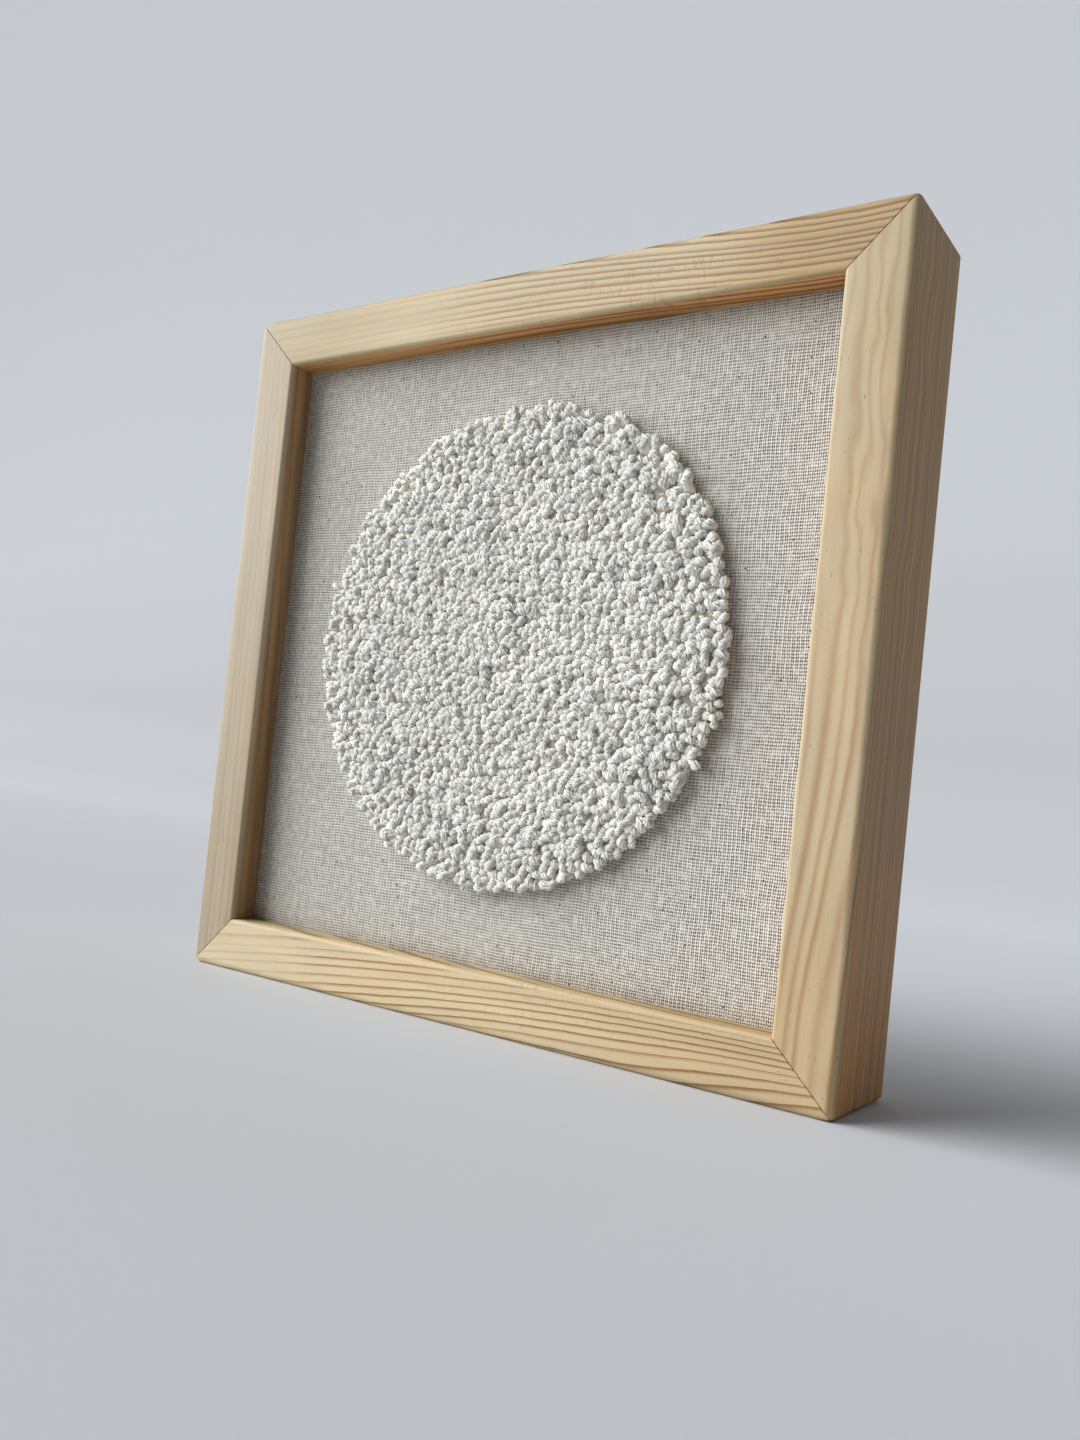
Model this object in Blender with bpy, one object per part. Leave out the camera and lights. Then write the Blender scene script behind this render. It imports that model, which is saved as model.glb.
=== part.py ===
"""Framed loop-pile wall hanging: four mitred pine rails round a stretched cotton
ground cloth with a round patch of looped yarn in its middle.

Frame of reference: metres, +Z up, the face looks along -Y. The origin is the
middle of the underside, so the piece stands upright on its bottom rail.
"""

import math

import bmesh
import bpy
from mathutils import Matrix, Vector

# ---------------------------------------------------------------- dimensions
SIDE = 0.200            # outer width and height of the square frame
DEPTH = 0.0335          # front face to back face of a rail
FACE = 0.0151           # width of a rail's front face
RECESS = 0.0094         # front face of the frame to the front of the cloth
REBATE = 0.0050         # step at the back of each rail that the cloth lies in
GAP = 0.0003            # clearance between neighbouring pieces
R_FRONT = 0.0019        # rounded arris, outer front edge
R_INNER = 0.0009        # rounded arris, inner front edge
R_BACK = 0.0007         # rounded arris, outer back edge
R_CORNER = 0.0016       # rounding of the frame's four outer corners
BREAK = 0.0004          # small broken edge at the back of the rebate

CLOTH_T = 0.0010        # ground cloth with its punched backing
CLOTH_EDGE = 0.0005     # clearance of the cut cloth in the rebate
CLOTH_CELLS = 26        # cells along each side of the cloth
PUCKER = 0.00030        # height of the soft puckers round the pile

PILE_R = 0.0652         # outer radius of the pile, loops included
PILE_H = 0.0054         # height of the pile above the cloth
PILE_DOME = 0.0048      # width of the rolled-over rim
PILE_SCALLOP = 0.00055  # how uneven the outline is
PILE_LUMP = 0.00022     # how uneven the top is
PILE_SIDES = 72         # points round the pile

FRONT_Y = -DEPTH / 2
BACK_Y = DEPTH / 2
CENTRE_Z = SIDE / 2
CLOTH_Y = FRONT_Y + RECESS          # front of the cloth
PILE_BACK_Y = CLOTH_Y - GAP         # flat back of the pile

# columns: part, red, green, blue (linear), roughness, metallic
FINISH = {
    "pine": (0.640, 0.445, 0.235, 0.62, 0.0),
    "cotton": (0.600, 0.565, 0.520, 0.90, 0.0),
    "yarn": (0.740, 0.720, 0.670, 0.92, 0.0),
}

# the unevenness of the pile's outline: turns round the circle, share, phase
OUTLINE_WAVES = ((3, 0.35, 0.4), (7, 0.30, 1.9), (19, 0.20, 0.7), (31, 0.15, 2.6))
# the puckers of the cloth round the pile: turns round the circle, share, phase
PUCKER_WAVES = ((5, 0.40, 1.1), (9, 0.35, 0.3), (14, 0.25, 2.2))


def clear_scene():
    for obj in list(bpy.data.objects):
        bpy.data.objects.remove(obj, do_unlink=True)


def material(name):
    r, g, b, rough, metal = FINISH[name]
    mat = bpy.data.materials.new(name)
    mat.use_nodes = True
    shader = mat.node_tree.nodes["Principled BSDF"]
    shader.inputs["Base Color"].default_value = (r, g, b, 1.0)
    shader.inputs["Roughness"].default_value = rough
    shader.inputs["Metallic"].default_value = metal
    return mat


def add_object(name, bm, mat, smooth_deg):
    bmesh.ops.recalc_face_normals(bm, faces=bm.faces)
    mesh = bpy.data.meshes.new(name)
    bm.to_mesh(mesh)
    bm.free()
    mesh.shade_smooth()
    mesh.set_sharp_from_angle(angle=math.radians(smooth_deg))
    mesh.materials.append(mat)
    obj = bpy.data.objects.new(name, mesh)
    bpy.context.collection.objects.link(obj)
    return obj


# --------------------------------------------------------------------- rails
def arc(cu, cv, radius, start_deg, end_deg, steps):
    """Points of an arc in the rail's section, u inward and v backward."""
    points = []
    for i in range(steps + 1):
        a = math.radians(start_deg + (end_deg - start_deg) * i / steps)
        points.append((cu + radius * math.cos(a), cv + radius * math.sin(a)))
    return points


def rail_section():
    """The rail's section as (u, v): u runs inward from the outer face, v runs
    back from the front face. Front arrises, the inner wall, the rebate's
    shoulder and wall, the back face and the outer back arris."""
    shoulder = RECESS - GAP
    wall = FACE - REBATE
    points = arc(R_FRONT, R_FRONT, R_FRONT, 180, 270, 7)
    points += arc(FACE - R_INNER, R_INNER, R_INNER, 270, 360, 5)
    points += [(FACE, shoulder), (wall, shoulder)]
    points += [(wall, DEPTH - BREAK), (wall - BREAK, DEPTH)]
    points += arc(R_BACK, DEPTH - R_BACK, R_BACK, 90, 180, 6)
    return points


def mitred_rail(name, mat, turn_deg):
    """A rail whose ends lie on the two mitre planes, half a gap short of
    them. The rail is made along X under the frame's centre, then turned about
    the frame's centre. Near each end the outer face curves inward, which
    rounds the frame's corner."""
    section = rail_section()
    half_gap = GAP / math.sqrt(2)
    steps = 4
    turn = [math.radians(45) * i / steps for i in range(steps + 1)]
    reach_end = R_CORNER * math.sin(turn[-1])

    def placed(u, v, angle, side):
        near = max(0.0, 1.0 - u / (3 * R_CORNER))
        drop_end = R_CORNER * (1 - math.cos(turn[-1])) * near
        drop = R_CORNER * (1 - math.cos(angle)) * near
        x_end = SIDE / 2 - half_gap - (u + drop_end)
        x = x_end - (reach_end - R_CORNER * math.sin(angle))
        return Vector((side * x, FRONT_Y + v, u + drop - SIDE / 2))

    bm = bmesh.new()
    rings = []
    stations = [(-1, a) for a in reversed(turn)] + [(1, a) for a in turn]
    for side, angle in stations:
        rings.append([bm.verts.new(placed(u, v, angle, side)) for u, v in section])
    count = len(section)
    for first, second in zip(rings, rings[1:]):
        for i in range(count):
            j = (i + 1) % count
            bm.faces.new((first[i], first[j], second[j], second[i]))
    bm.faces.new(rings[0])
    bm.faces.new(list(reversed(rings[-1])))
    rail = add_object(name, bm, mat, 40)
    rail.location = (0.0, 0.0, CENTRE_Z)
    rail.rotation_euler = (0.0, math.radians(turn_deg), 0.0)
    return rail


# --------------------------------------------------------------------- cloth
def waves(angle, table):
    return sum(share * math.sin(turns * angle + phase) for turns, share, phase in table)


def outline_radius(angle):
    return PILE_R + PILE_SCALLOP * waves(angle, OUTLINE_WAVES)


def pucker(x, z):
    """How far the cloth stands forward of its plane: nothing under the pile
    and at the frame, soft radial waves between them."""
    r = math.hypot(x, z)
    opening = SIDE / 2 - FACE
    edge = max(abs(x), abs(z))
    rise = min(1.0, max(0.0, (r - PILE_R - 0.001) / 0.006))
    fall = min(1.0, max(0.0, (opening - 0.002 - edge) / 0.014))
    ease = rise * rise * (3 - 2 * rise) * fall * fall * (3 - 2 * fall)
    return PUCKER * ease * waves(math.atan2(z, x), PUCKER_WAVES)


def ground_cloth(mat):
    half = SIDE / 2 - (FACE - REBATE) - CLOTH_EDGE
    n = CLOTH_CELLS
    bm = bmesh.new()
    sheets = []
    for back in (0.0, CLOTH_T):
        sheet = []
        for k in range(n + 1):
            row = []
            for i in range(n + 1):
                x = -half + 2 * half * i / n
                z = -half + 2 * half * k / n
                y = CLOTH_Y - pucker(x, z) + back
                row.append(bm.verts.new((x, y, CENTRE_Z + z)))
            sheet.append(row)
        sheets.append(sheet)
    front, rear = sheets
    for k in range(n):
        for i in range(n):
            bm.faces.new((front[k][i], front[k][i + 1], front[k + 1][i + 1], front[k + 1][i]))
            bm.faces.new((rear[k][i], rear[k + 1][i], rear[k + 1][i + 1], rear[k][i + 1]))
    rim = [(0, i) for i in range(n)] + [(k, n) for k in range(n)]
    rim += [(n, i) for i in range(n, 0, -1)] + [(k, 0) for k in range(n, 0, -1)]
    for (ka, ia), (kb, ib) in zip(rim, rim[1:] + rim[:1]):
        bm.faces.new((front[ka][ia], rear[ka][ia], rear[kb][ib], front[kb][ib]))
    bmesh.ops.triangulate(bm, faces=bm.faces)
    return add_object("ground_cloth", bm, mat, 40)


# ---------------------------------------------------------------------- pile
def pile_height(inset, angle, r):
    """Height of the pile at a distance inset from its outline: it rolls over
    at the rim and is a little lumpy on top."""
    t = min(1.0, inset / PILE_DOME)
    dome = math.sqrt(max(0.0, 1 - (1 - t) ** 2))
    x, z = r * math.cos(angle), r * math.sin(angle)
    lumps = math.sin(x * 260 + 1.4 * math.sin(z * 170)) + math.sin(z * 310 - 1.1 * math.sin(x * 140))
    return PILE_H * dome + PILE_LUMP * (lumps - 2) * t


def pile_disc(mat):
    bm = bmesh.new()
    n = PILE_SIDES

    def ring(inset_or_share, height_of, share=False):
        verts = []
        for i in range(n):
            a = 2 * math.pi * i / n
            outer = outline_radius(a)
            r = outer * inset_or_share if share else outer - inset_or_share
            inset = outer - r
            y = PILE_BACK_Y - height_of(inset, a, r)
            verts.append(bm.verts.new((r * math.cos(a), y, CENTRE_Z + r * math.sin(a))))
        return verts

    flat = lambda inset, a, r: 0.0
    rings = [ring(0.45, flat, True), ring(0.0011, flat)]
    rings.append(ring(0.0002, lambda inset, a, r: 0.0009))
    for t in (0.0, 0.07, 0.22, 0.45, 0.75, 1.0):
        rings.append(ring(PILE_DOME * t, lambda inset, a, r: 0.0018 + pile_height(inset, a, r) * (1 - 0.0018 / PILE_H)))
    for share in (0.78, 0.58, 0.36, 0.16):
        rings.append(ring(share, pile_height, True))
    for first, second in zip(rings, rings[1:]):
        for i in range(n):
            j = (i + 1) % n
            bm.faces.new((first[i], first[j], second[j], second[i]))
    back_mid = bm.verts.new((0.0, PILE_BACK_Y, CENTRE_Z))
    top_mid = bm.verts.new((0.0, PILE_BACK_Y - pile_height(PILE_R, 0.0, 0.0), CENTRE_Z))
    for i in range(n):
        j = (i + 1) % n
        bm.faces.new((rings[0][j], rings[0][i], back_mid))
        bm.faces.new((rings[-1][i], rings[-1][j], top_mid))
    bmesh.ops.triangulate(bm, faces=bm.faces)
    return add_object("pile_disc", bm, mat, 60)


def build():
    clear_scene()
    pine, cotton, yarn = material("pine"), material("cotton"), material("yarn")
    # columns: node, turn about the frame's centre in degrees
    for name, turn in (("rail_bottom", 0), ("rail_left", 90), ("rail_top", 180), ("rail_right", 270)):
        mitred_rail(name, pine, turn)
    ground_cloth(cotton)
    pile_disc(yarn)


build()
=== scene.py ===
"""Looks of the framed loop-pile wall hanging: pine rails, woven ground cloth and
about 3200 modelled loops of twisted yarn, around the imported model."""

import math

import bpy
import numpy as np
from mathutils import Matrix, Quaternion, Vector


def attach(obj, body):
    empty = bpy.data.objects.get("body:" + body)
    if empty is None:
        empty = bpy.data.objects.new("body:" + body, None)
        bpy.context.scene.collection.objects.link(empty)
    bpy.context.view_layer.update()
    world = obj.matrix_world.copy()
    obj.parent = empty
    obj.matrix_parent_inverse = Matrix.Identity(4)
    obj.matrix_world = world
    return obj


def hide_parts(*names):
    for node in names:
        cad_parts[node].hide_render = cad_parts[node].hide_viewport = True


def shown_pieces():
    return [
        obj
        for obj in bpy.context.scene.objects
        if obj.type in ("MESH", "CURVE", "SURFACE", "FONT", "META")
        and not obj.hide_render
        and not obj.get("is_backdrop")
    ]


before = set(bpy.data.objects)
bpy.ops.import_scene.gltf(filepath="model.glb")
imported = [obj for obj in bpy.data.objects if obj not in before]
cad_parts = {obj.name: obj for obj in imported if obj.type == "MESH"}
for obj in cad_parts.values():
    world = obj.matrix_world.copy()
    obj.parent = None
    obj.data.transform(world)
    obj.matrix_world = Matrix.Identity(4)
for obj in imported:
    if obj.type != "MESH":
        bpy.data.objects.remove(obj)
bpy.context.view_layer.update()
scene = bpy.context.scene

# ------------------------------------------------------- sizes shared with the CAD, metres
SIDE = 0.200
DEPTH = 0.0335
FACE = 0.0151
RECESS = 0.0094
REBATE = 0.0050
GAP = 0.0003
R_FRONT = 0.0019
R_INNER = 0.0009
R_BACK = 0.0007
R_CORNER = 0.0016
BREAK = 0.0004
CLOTH_EDGE = 0.0005
PUCKER = 0.00030
PILE_R = 0.0652
FRONT_Y = -DEPTH / 2
CENTRE_Z = SIDE / 2
CLOTH_Y = FRONT_Y + RECESS
PUCKER_WAVES = ((5, 0.40, 1.1), (9, 0.35, 0.3), (14, 0.25, 2.2))
CLOTH_T = 0.00050       # the real cloth is half as thick as its CAD sheet

rng = np.random.default_rng(20817)


# ---------------------------------------------------------------------------- node helpers
class Nodes:
    """A short way to write a material's nodes."""

    def __init__(self, name):
        self.mat = bpy.data.materials.new(name)
        self.mat.use_nodes = True
        self.tree = self.mat.node_tree
        self.bsdf = self.tree.nodes["Principled BSDF"]

    def put(self, socket, value):
        if isinstance(value, bpy.types.NodeSocket):
            self.tree.links.new(value, socket)
        elif value is not None:
            socket.default_value = value

    def add(self, kind, **props):
        n = self.tree.nodes.new(kind)
        for k, v in props.items():
            setattr(n, k, v)
        return n

    def math(self, op, a, b=None, c=None, clamp=False):
        n = self.add("ShaderNodeMath", operation=op, use_clamp=clamp)
        for i, v in enumerate((a, b, c)):
            if v is not None:
                self.put(n.inputs[i], v)
        return n.outputs[0]

    def poly(self, x, terms):
        """terms[0] + terms[1] x + terms[2] x^2 ..., by Horner's rule."""
        out = terms[-1]
        for t in reversed(terms[:-1]):
            out = self.math("MULTIPLY_ADD", out, x, t)
        return out

    def vec(self, x, y, z):
        n = self.add("ShaderNodeCombineXYZ")
        for i, v in enumerate((x, y, z)):
            self.put(n.inputs[i], v)
        return n.outputs[0]

    def axes(self, vector):
        n = self.add("ShaderNodeSeparateXYZ")
        self.put(n.inputs[0], vector)
        return n.outputs[0], n.outputs[1], n.outputs[2]

    def coords(self, which="Object"):
        return self.add("ShaderNodeTexCoord").outputs[which]

    def noise(self, vector, scale=1.0, detail=2.0, rough=0.5, dims="3D"):
        n = self.add("ShaderNodeTexNoise", noise_dimensions=dims)
        if dims == "1D":
            self.put(n.inputs["W"], vector)
        else:
            self.put(n.inputs["Vector"], vector)
        n.inputs["Scale"].default_value = scale
        n.inputs["Detail"].default_value = detail
        n.inputs["Roughness"].default_value = rough
        return n.outputs["Fac"]

    def centred(self, fac, amount):
        """A noise value moved to -amount..amount."""
        return self.math("MULTIPLY", self.math("SUBTRACT", fac, 0.5), 2 * amount)

    def step(self, x, low, high):
        """Smooth rise from 0 at low to 1 at high."""
        n = self.add("ShaderNodeMapRange", interpolation_type="SMOOTHSTEP")
        self.put(n.inputs["Value"], x)
        n.inputs["From Min"].default_value = low
        n.inputs["From Max"].default_value = high
        return n.outputs[0]

    def ramp(self, fac, stops):
        n = self.add("ShaderNodeValToRGB")
        self.put(n.inputs[0], fac)
        e = n.color_ramp.elements
        while len(e) < len(stops):
            e.new(0.5)
        for slot, (pos, col) in zip(e, stops):
            slot.position = pos
            slot.color = (*col, 1.0) if len(col) == 3 else col
        return n.outputs[0]

    def mix(self, fac, a, b, blend="MIX"):
        n = self.add("ShaderNodeMix", data_type="RGBA", blend_type=blend)
        self.put(n.inputs[0], fac)
        for socket, v in ((n.inputs[6], a), (n.inputs[7], b)):
            if isinstance(v, tuple) and len(v) == 3:
                v = (*v, 1.0)
            self.put(socket, v)
        return n.outputs[2]

    def scaled(self, colour, factor):
        """A colour times a number that varies over the surface."""
        n = self.add("ShaderNodeVectorMath", operation="SCALE")
        self.put(n.inputs[0], colour)
        self.put(n.inputs["Scale"], factor)
        return n.outputs[0]

    def bump(self, height, distance, strength=1.0, normal=None):
        n = self.add("ShaderNodeBump")
        n.inputs["Strength"].default_value = strength
        n.inputs["Distance"].default_value = distance
        self.put(n.inputs["Height"], height)
        if normal is not None:
            self.put(n.inputs["Normal"], normal)
        return n.outputs[0]

    def shader(self, colour, rough, normal=None, **sockets):
        self.put(self.bsdf.inputs["Base Color"], colour)
        self.put(self.bsdf.inputs["Roughness"], rough)
        self.put(self.bsdf.inputs["Normal"], normal)
        for k, v in sockets.items():
            self.bsdf.inputs[k.replace("_", " ")].default_value = v
        return self.mat


def lin(r, g, b):
    """An sRGB colour, 0 to 255, as the linear values that a shader takes."""
    return tuple(
        c / 12.92 if c <= 0.04045 else ((c + 0.055) / 1.055) ** 2.4
        for c in (r / 255, g / 255, b / 255)
    )


# ---------------------------------------------------------------------------- mesh helpers
def make_mesh(name, verts, groups, material, uv=None, tone=None, sharp=None):
    """An object from arrays. groups is a list of face arrays, each of shape (n, corners);
    uv, where given, is one array of corner coordinates for each group."""
    me = bpy.data.meshes.new(name)
    verts = np.asarray(verts, np.float32).reshape(-1, 3)
    flat = np.concatenate([g.reshape(-1) for g in groups]).astype(np.int32)
    sizes = np.concatenate([np.full(len(g), g.shape[1]) for g in groups])
    starts = np.concatenate([[0], np.cumsum(sizes)[:-1]]).astype(np.int32)
    me.vertices.add(len(verts))
    me.vertices.foreach_set("co", verts.ravel())
    me.loops.add(len(flat))
    me.loops.foreach_set("vertex_index", flat)
    me.polygons.add(len(starts))
    me.polygons.foreach_set("loop_start", starts)
    me.update(calc_edges=True)
    if uv is not None:
        layer = me.uv_layers.new(name="yarn")
        layer.uv.foreach_set("vector", np.concatenate([u.reshape(-1, 2) for u in uv]).astype(np.float32).ravel())
    if tone is not None:
        me.attributes.new("tone", "FLOAT", "POINT").data.foreach_set("value", np.asarray(tone, np.float32))
    me.validate()
    me.shade_smooth()
    if sharp is not None:
        me.set_sharp_from_angle(angle=math.radians(sharp))
    me.materials.append(material)
    ob = bpy.data.objects.new(name, me)
    scene.collection.objects.link(ob)
    return ob


def smooth(t):
    t = np.clip(t, 0, 1)
    return t * t * (3 - 2 * t)


def wobble(x, z, scale, seed):
    """A smooth field of about -1..1 over the plane, with bumps about scale across."""
    k = 2 * math.pi / scale
    out = 0
    for i, (w, turn) in enumerate(((1.0, 0.3), (0.8, 1.4), (0.9, 2.3), (0.6, 2.9))):
        a = turn + seed * 1.7
        f = k * (0.7 + 0.22 * i)
        out = out + w * np.sin(f * (x * math.cos(a) + z * math.sin(a)) + seed * (2.1 + i) + 1.3 * np.sin(0.6 * f * (z * math.cos(a) - x * math.sin(a)) + seed + i))
    return out / 2.2


# ------------------------------------------------------------------------ the view and light
camera = bpy.data.objects.new("camera", bpy.data.cameras.new("camera"))
scene.collection.objects.link(camera)
scene.camera = camera
camera.location = (0.183095, -0.274858, 0.062757)
camera.rotation_mode = "QUATERNION"
camera.rotation_quaternion = Quaternion((0.6484223, 0.690752, 0.1919759, 0.2560382))
camera.data.sensor_fit = "AUTO"
camera.data.sensor_width = 36
camera.data.lens = 30.323
camera.data.shift_x = 0.0671
camera.data.shift_y = 0.0197
camera.data.clip_start = 0.01
camera.data.clip_end = 50

KEY = Vector((-0.751, -0.507, 0.423)).normalized()
sun = bpy.data.objects.new("key", bpy.data.lights.new("key", "SUN"))
scene.collection.objects.link(sun)
sun.data.energy = 4.95
sun.data.angle = math.radians(62)
sun.data.color = (0.975, 0.99, 1.0)
sun.rotation_mode = "QUATERNION"
sun.rotation_quaternion = KEY.to_track_quat("Z", "Y")

world = bpy.data.worlds.new("studio")
scene.world = world
world.use_nodes = True
sky = world.node_tree.nodes["Background"]
sky.inputs["Color"].default_value = (1.0, 0.86, 0.72, 1)
sky.inputs["Strength"].default_value = 0.078
scene.view_settings.view_transform = "Standard"


def studio():
    """A pale sweep: a flat floor that curves up into a backdrop."""
    profile = [(-2.2, 0.0), (-1.0, 0.0), (0.0, 0.0), (0.55, 0.0)]
    radius = 0.45
    for i in range(1, 25):
        a = math.radians(90) * i / 24
        profile.append((0.55 + radius * math.sin(a), radius * (1 - math.cos(a))))
    profile += [(1.0, 0.9), (1.0, 1.8)]
    xs = np.linspace(-2.6, 2.6, 27)
    verts = [(x, y, z) for y, z in profile for x in xs]
    n, m = len(profile), len(xs)
    faces = [(i * m + j, i * m + j + 1, (i + 1) * m + j + 1, (i + 1) * m + j) for i in range(n - 1) for j in range(m - 1)]
    g = Nodes("studio_floor")
    x, y, z = g.axes(g.coords())
    grain = g.noise(g.coords(), 900.0, 2.0)
    # a little darker where the sweep turns to the light, so that it looks even
    stops = ((0.0, 0.625), (0.03, 0.565), (0.08, 0.515), (0.30, 0.455), (0.62, 0.48), (1.0, 0.565))
    colour = g.ramp(g.math("MULTIPLY", z, 1 / 0.45), [(at, (0.965 * v, v, 1.055 * v)) for at, v in stops])
    g.shader(colour, 0.9, g.bump(grain, 0.00005, 0.3))
    floor = make_mesh("floor", verts, [np.array(faces)], g.mat)
    floor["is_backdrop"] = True


studio()


# ------------------------------------------------------------------------------------- pine
def pine(name, pith, ref, lines, gaps, warp, early, late, contrast=1.0, soft=1.8, end=0.92, uneven=0.62, fade=(), skew=(0.0, 1.0, 0.0), marks=None, ends=(), reach_side=1.0, side_line=0.6, curl=0.0, sides=(0.78, 0.62, 0.45), inner=(0.78, 0.59, 0.42), side_light_ends=(), seed=0.0):
    """Planed pine in the rail's own coordinates: s along it, u inward from the outer face
    and v back from the front face, all in millimetres. The growth rings are round a pith
    line at (u, v) = pith, and ref is where on the front face they are measured. lines and
    gaps say where one ring's line runs and how far apart the lines are, as (s, mm) rows.
    soft shapes a line from broad (1) to thin (3), end is where it ends, fade rows weaken the lines over a stretch
    of s, ends rows tint one (reach_side is the share of that on the sides, side_line how much stronger the lines are
    there), skew crowds the lines inward over a stretch, marks is where the planer left its marks, sides and inner
    are painted shade that darkens and warms the outer side and the inner wall, and side_light_ends rows are painted
    light that lifts a stretch of those two."""
    g = Nodes(name)
    x, y, z = g.axes(g.coords())
    s = g.math("MULTIPLY", x, 1000.0)
    u = g.math("MULTIPLY_ADD", z, 1000.0, SIDE * 500)
    v = g.math("MULTIPLY_ADD", y, 1000.0, -FRONT_Y * 1000)
    t = g.math("MULTIPLY", s, 0.01)
    # slow bends of the rings, then a fine tremble of each line
    wide = g.noise(g.vec(g.math("MULTIPLY_ADD", s, 1 / 40, seed), g.math("MULTIPLY", u, 1 / 13), g.math("MULTIPLY", v, 1 / 13)), 1.0, 1.5)
    tremble = g.noise(g.vec(g.math("MULTIPLY_ADD", s, 1 / 6, seed), g.math("MULTIPLY", u, 1 / 2.2), g.math("MULTIPLY", v, 1 / 2.2)), 1.0, 3.0)
    bend = g.math("ADD", g.centred(wide, warp), g.centred(tremble, 0.20))
    if curl:
        # short swirls, stronger towards the far end
        swirl = g.noise(g.vec(g.math("MULTIPLY_ADD", s, 1 / 17, seed + 2), g.math("MULTIPLY", u, 1 / 6), g.math("MULTIPLY", v, 1 / 30)), 1.0, 1.0)
        bend = g.math("ADD", bend, g.math("MULTIPLY", g.centred(swirl, curl), g.step(s, -35.0, 30.0)))
    du, dv = g.math("SUBTRACT", u, pith[0]), g.math("SUBTRACT", v, pith[1])
    away = g.math("SQRT", g.math("ADD", g.math("MULTIPLY", du, du), g.math("MULTIPLY", dv, dv)))
    # as a distance across the front face
    reach = math.hypot(ref - pith[0], pith[1])
    slope = (ref - pith[0]) / reach
    across = g.math("MULTIPLY_ADD", away, 1 / slope, ref - reach / slope)
    lines, gaps = np.array(lines, float), np.array(gaps, float)
    run = np.polyfit(lines[:, 0] / 100, lines[:, 1], min(5, len(lines) - 1))[::-1]
    dens = np.polyfit(gaps[:, 0] / 100, 1 / gaps[:, 1], min(2, len(gaps) - 1))[::-1]
    off = g.math("SUBTRACT", g.math("ADD", across, bend), g.poly(t, [float(c) for c in run]))
    if skew[2]:
        crowd = g.math("MULTIPLY", g.step(s, skew[0], skew[1]), skew[2])
        off = g.math("MULTIPLY", off, g.math("MULTIPLY_ADD", off, crowd, 1.0))
    ring = g.math("MULTIPLY", off, g.poly(t, [float(c) for c in dens]))
    # rings of uneven width
    widths = g.noise(g.math("MULTIPLY_ADD", ring, 0.43, seed * 3), 1.0, 1.0, dims="1D")
    ring = g.math("ADD", ring, g.centred(widths, uneven))
    place = g.math("FRACT", ring)
    index = g.math("FLOOR", ring)
    # late wood: a slow rise to a dark line, then a quick end
    rise = g.step(place, 0.30, 0.90)
    drop = g.math("SUBTRACT", 1.0, g.step(place, end, 1.0))
    line = g.math("MULTIPLY", g.math("POWER", rise, soft), drop)
    strength = g.math("MULTIPLY_ADD", g.noise(g.math("MULTIPLY_ADD", index, 0.77, seed), 1.0, 0.0, dims="1D"), 1.1, 0.42)
    patch = g.noise(g.vec(g.math("MULTIPLY_ADD", s, 1 / 26, seed), g.math("MULTIPLY", u, 1 / 5), g.math("MULTIPLY", v, 1 / 5)), 1.0, 2.0)
    strength = g.math("MULTIPLY", strength, g.math("MULTIPLY_ADD", patch, 1.0, 0.52))
    for low, high, share in fade:
        strength = g.math("MULTIPLY", strength, g.math("MULTIPLY_ADD", g.step(s, low, high), share - 1.0, 1.0))
    depth = g.step(v, 0.5, 2.6)
    strength = g.math("MULTIPLY", strength, g.math("MULTIPLY_ADD", depth, side_line, 1.0))
    turnover = g.math("MULTIPLY", g.step(u, FACE * 1000 - 1.7, FACE * 1000 - 0.5), g.math("SUBTRACT", 1.0, g.step(v, 1.2, 3.0)))
    strength = g.math("MULTIPLY", strength, g.math("MULTIPLY_ADD", turnover, -0.9, 1.0))
    line = g.math("MULTIPLY", line, g.math("MULTIPLY", strength, contrast), clamp=True)
    # fibres: long fine streaks
    fibre = g.noise(g.vec(g.math("MULTIPLY_ADD", s, 1 / 9, seed), g.math("MULTIPLY", u, 1 / 0.20), g.math("MULTIPLY", v, 1 / 0.20)), 1.0, 2.0)
    broad = g.noise(g.vec(g.math("MULTIPLY_ADD", s, 1 / 50, seed + 5), g.math("MULTIPLY", u, 1 / 5), g.math("MULTIPLY", v, 1 / 5)), 1.0, 2.0)
    colour = g.mix(line, early, late)
    tone = g.math("ADD", g.math("MULTIPLY_ADD", g.math("SUBTRACT", fibre, 0.5), 0.22, 1.0), g.centred(broad, 0.16))
    # soft bands along the sides
    band = g.noise(g.math("MULTIPLY_ADD", g.math("ADD", away, bend), 1 / 2.1, seed), 1.0, 1.0, dims="1D")
    tone = g.math("MULTIPLY_ADD", g.centred(band, 0.52), depth, tone)
    colour = g.scaled(colour, tone)
    # whole stretches of a rail are a little darker or warmer
    front = g.math("MULTIPLY_ADD", depth, reach_side - 1.0, 1.0)
    for low, high, tint in ends:
        colour = g.mix(g.math("MULTIPLY", g.step(s, low, high), front), colour, g.mix(1.0, colour, tint, "MULTIPLY"))
    # a warmer hue in patches
    warm = g.step(g.noise(g.vec(g.math("MULTIPLY_ADD", s, 1 / 33, seed + 9), g.math("MULTIPLY", u, 1 / 9), g.math("MULTIPLY", v, 1 / 9)), 1.0, 1.0), 0.42, 0.72)
    colour = g.mix(g.math("MULTIPLY", warm, 0.45), colour, g.mix(1.0, colour, (1.03, 0.93, 0.80), "MULTIPLY"))
    # painted shade: the outer side and the inner wall, which the light leaves dim, are tinted darker and warmer than
    # the front
    wall = g.mix(g.step(u, FACE * 500, FACE * 700), sides, inner)
    colour = g.mix(depth, colour, g.mix(1.0, colour, wall, "MULTIPLY"))
    # painted light: side_light_ends rows lift a stretch of that painted shade
    for low, high, tint in side_light_ends:
        colour = g.mix(g.math("MULTIPLY", g.step(s, low, high), depth), colour, g.mix(1.0, colour, tint, "MULTIPLY"))
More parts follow.
